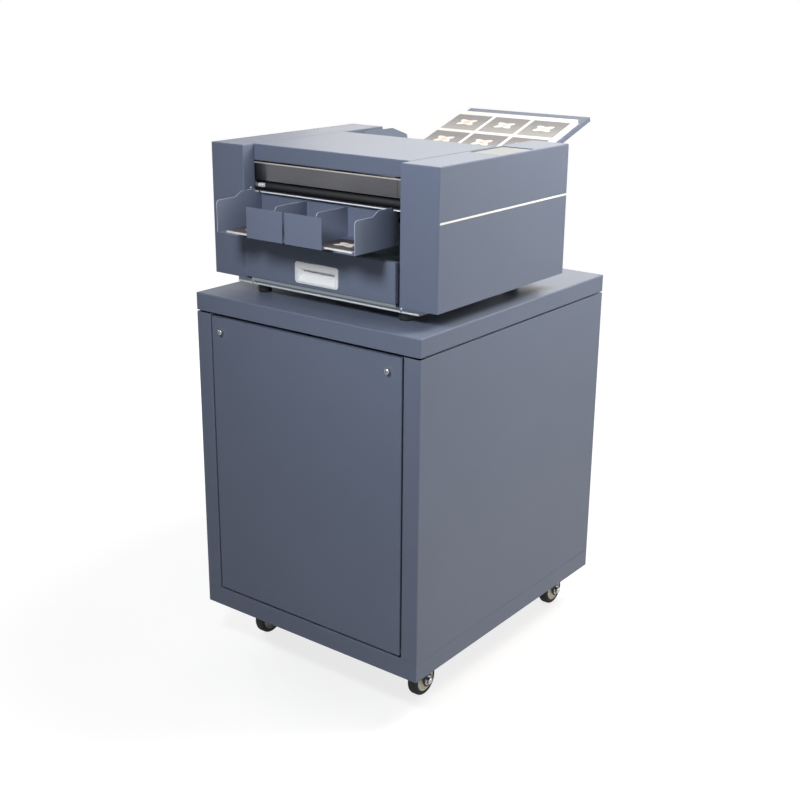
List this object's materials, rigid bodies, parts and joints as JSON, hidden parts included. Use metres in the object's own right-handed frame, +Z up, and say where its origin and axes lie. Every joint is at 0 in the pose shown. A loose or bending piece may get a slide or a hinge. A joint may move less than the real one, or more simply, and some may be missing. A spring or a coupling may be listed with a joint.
{
  "type": "card cutter",
  "caption": "Sheet-fed playing card cutter with slitting knives, card tray and waste drawer, standing on a castored steel cabinet with a drop-down door.",
  "frame": {"origin": "on the floor under the middle of the cabinet", "axes": "+Z up, -Y towards the operator at the front, +X to the right seen from the front"},
  "size_m": [0.6, 0.8921, 1.1795],
  "materials": {
    "slate_paint": "fine-textured powder coat, satin",
    "bright_chrome": "polished",
    "zinc_steel": "zinc plated",
    "black_enamel": "semi-gloss",
    "castor_tyre": "matte",
    "black_rubber": "matte",
    "dark_brushed_steel": "brushed",
    "bright_aluminium": "satin",
    "ground_steel": "ground",
    "gear_plastic": "satin",
    "white_plastic": "gloss",
    "black_plastic": "matte",
    "white_paper": "matte paper"
  },
  "bodies": {
    "chassis": {"cabinet_base": "slate_paint", "cabinet_body": "slate_paint", "cabinet_top": "slate_paint", "door_pins": "bright_chrome", "castor_plates": "zinc_steel", "machine_feet": "black_rubber", "base_plate": "zinc_steel", "left_frame": "dark_brushed_steel", "right_frame": "dark_brushed_steel", "left_cover": "slate_paint", "right_cover": "slate_paint", "cover_pins": "bright_chrome", "rear_panel": "slate_paint", "exit_guard": "dark_brushed_steel", "exit_guide": "bright_aluminium", "card_tray": "slate_paint", "cut_cards": "white_paper", "feed_table": "dark_brushed_steel", "feed_tray": "slate_paint", "tray_arms": "slate_paint", "feed_guides": "slate_paint", "print_sheet": "white_paper", "cross_bed": "ground_steel", "blade_motor": "black_enamel", "drive_motor": "black_enamel", "drive_belts": "black_rubber", "touch_panel": "white_plastic", "power_inlet": "black_plastic", "power_supply": "zinc_steel"},
    "door": {"cabinet_door": "slate_paint", "lock_barrels": "bright_chrome"},
    "lock_left": {"lock_cam_left": "bright_chrome"},
    "lock_right": {"lock_cam_right": "bright_chrome"},
    "top_flap": {"top_cover": "slate_paint"},
    "drawer": {"drawer_box": "zinc_steel", "drawer_front": "slate_paint", "drawer_pull": "white_plastic"},
    "lower_knife": {"lower_knives": "ground_steel", "knife_drive": "gear_plastic"},
    "upper_knife": {"upper_knives": "ground_steel", "upper_gear": "gear_plastic"},
    "feed_lower": {"feed_roller": "black_rubber", "feed_pulley": "gear_plastic"},
    "feed_upper": {"feed_pinch": "black_rubber"},
    "exit_lower": {"exit_shaft": "ground_steel", "exit_sleeve": "black_rubber", "exit_pulley": "gear_plastic"},
    "exit_upper": {"exit_pinch": "black_rubber"},
    "motor_rotor": {"motor_pulley": "ground_steel"},
    "blade": {"cross_blade": "ground_steel"},
    "crank": {"blade_crank": "dark_brushed_steel"},
    "rocker": {"power_rocker": "black_plastic"},
    "fork_fl": {"castor_fork_fl": "black_enamel"},
    "wheel_fl": {"castor_wheel_fl": "castor_tyre"},
    "fork_fr": {"castor_fork_fr": "black_enamel"},
    "wheel_fr": {"castor_wheel_fr": "castor_tyre"},
    "fork_rl": {"castor_fork_rl": "black_enamel"},
    "wheel_rl": {"castor_wheel_rl": "castor_tyre"},
    "fork_rr": {"castor_fork_rr": "black_enamel"},
    "wheel_rr": {"castor_wheel_rr": "castor_tyre"}
  },
  "joints": [
    {"name": "door_tilt", "type": "hinge", "parent": "chassis", "child": "door", "pos_m": [0, -0.347, 0.164], "axis": [1, 0, 0], "range_deg": [0, 90]},
    {"name": "lock_left_turn", "type": "hinge", "parent": "door", "child": "lock_left", "pos_m": [-0.225, -0.355, 0.767], "axis": [0, 1, 0], "range_deg": [0, 90]},
    {"name": "lock_right_turn", "type": "hinge", "parent": "door", "child": "lock_right", "pos_m": [0.225, -0.355, 0.767], "axis": [0, -1, 0], "range_deg": [0, 90]},
    {"name": "castor_swivel_fl", "type": "hinge", "parent": "chassis", "child": "fork_fl", "pos_m": [-0.226, -0.272, 0], "axis": [0, 0, 1], "continuous": true},
    {"name": "castor_roll_fl", "type": "hinge", "parent": "fork_fl", "child": "wheel_fl", "pos_m": [-0.226, -0.234, 0.0375], "axis": [1, 0, 0], "continuous": true},
    {"name": "castor_swivel_fr", "type": "hinge", "parent": "chassis", "child": "fork_fr", "pos_m": [0.226, -0.272, 0], "axis": [0, 0, 1], "continuous": true},
    {"name": "castor_roll_fr", "type": "hinge", "parent": "fork_fr", "child": "wheel_fr", "pos_m": [0.226, -0.234, 0.0375], "axis": [1, 0, 0], "continuous": true},
    {"name": "castor_swivel_rl", "type": "hinge", "parent": "chassis", "child": "fork_rl", "pos_m": [-0.226, 0.272, 0], "axis": [0, 0, 1], "continuous": true},
    {"name": "castor_roll_rl", "type": "hinge", "parent": "fork_rl", "child": "wheel_rl", "pos_m": [-0.226, 0.31, 0.0375], "axis": [1, 0, 0], "continuous": true},
    {"name": "castor_swivel_rr", "type": "hinge", "parent": "chassis", "child": "fork_rr", "pos_m": [0.226, 0.272, 0], "axis": [0, 0, 1], "continuous": true},
    {"name": "castor_roll_rr", "type": "hinge", "parent": "fork_rr", "child": "wheel_rr", "pos_m": [0.226, 0.31, 0.0375], "axis": [1, 0, 0], "continuous": true},
    {"name": "cover_lift", "type": "hinge", "parent": "chassis", "child": "top_flap", "pos_m": [0, 0.024, 1.135], "axis": [-1, 0, 0], "range_deg": [0, 75]},
    {"name": "drawer_slide", "type": "slide", "parent": "chassis", "child": "drawer", "axis": [0, -1, 0], "range_m": [0, 0.28]},
    {"name": "lower_knife_spin", "type": "hinge", "parent": "chassis", "child": "lower_knife", "pos_m": [0, -0.09, 1.055], "axis": [1, 0, 0], "continuous": true},
    {"name": "upper_knife_spin", "type": "hinge", "parent": "chassis", "child": "upper_knife", "pos_m": [0, -0.09, 1.103], "axis": [1, 0, 0], "continuous": true},
    {"name": "feed_roller_spin", "type": "hinge", "parent": "chassis", "child": "feed_lower", "pos_m": [0, -0.012, 1.07], "axis": [1, 0, 0], "continuous": true},
    {"name": "feed_pinch_spin", "type": "hinge", "parent": "chassis", "child": "feed_upper", "pos_m": [0, -0.012, 1.0886], "axis": [1, 0, 0], "continuous": true},
    {"name": "exit_roller_spin", "type": "hinge", "parent": "chassis", "child": "exit_lower", "pos_m": [0, -0.249, 1.07], "axis": [1, 0, 0], "continuous": true},
    {"name": "exit_pinch_spin", "type": "hinge", "parent": "chassis", "child": "exit_upper", "pos_m": [0, -0.249, 1.0886], "axis": [1, 0, 0], "continuous": true},
    {"name": "motor_spin", "type": "hinge", "parent": "chassis", "child": "motor_rotor", "pos_m": [0, -0.09, 0.953], "axis": [1, 0, 0], "continuous": true},
    {"name": "blade_slide", "type": "slide", "parent": "chassis", "child": "blade", "axis": [0, 0, -1], "range_m": [0, 0.00845]},
    {"name": "crank_turn", "type": "hinge", "parent": "chassis", "child": "crank", "pos_m": [0, -0.176, 1.09277], "axis": [-1, 0, 0], "range_deg": [0, 50]},
    {"name": "rocker_tilt", "type": "hinge", "parent": "chassis", "child": "rocker", "pos_m": [-0.15, 0.169, 0.935], "axis": [1, 0, 0], "range_deg": [0, 20]}
  ],
  "couplings": [
    {"joint": "upper_knife_spin", "follows": "lower_knife_spin", "ratio": -1},
    {"joint": "feed_roller_spin", "follows": "lower_knife_spin", "ratio": 1},
    {"joint": "feed_pinch_spin", "follows": "lower_knife_spin", "ratio": -1},
    {"joint": "exit_roller_spin", "follows": "lower_knife_spin", "ratio": 1},
    {"joint": "exit_pinch_spin", "follows": "lower_knife_spin", "ratio": -1},
    {"joint": "motor_spin", "follows": "lower_knife_spin", "ratio": 1},
    {"joint": "crank_turn", "follows": "blade_slide", "rad_per_m": 103.25}
  ]
}
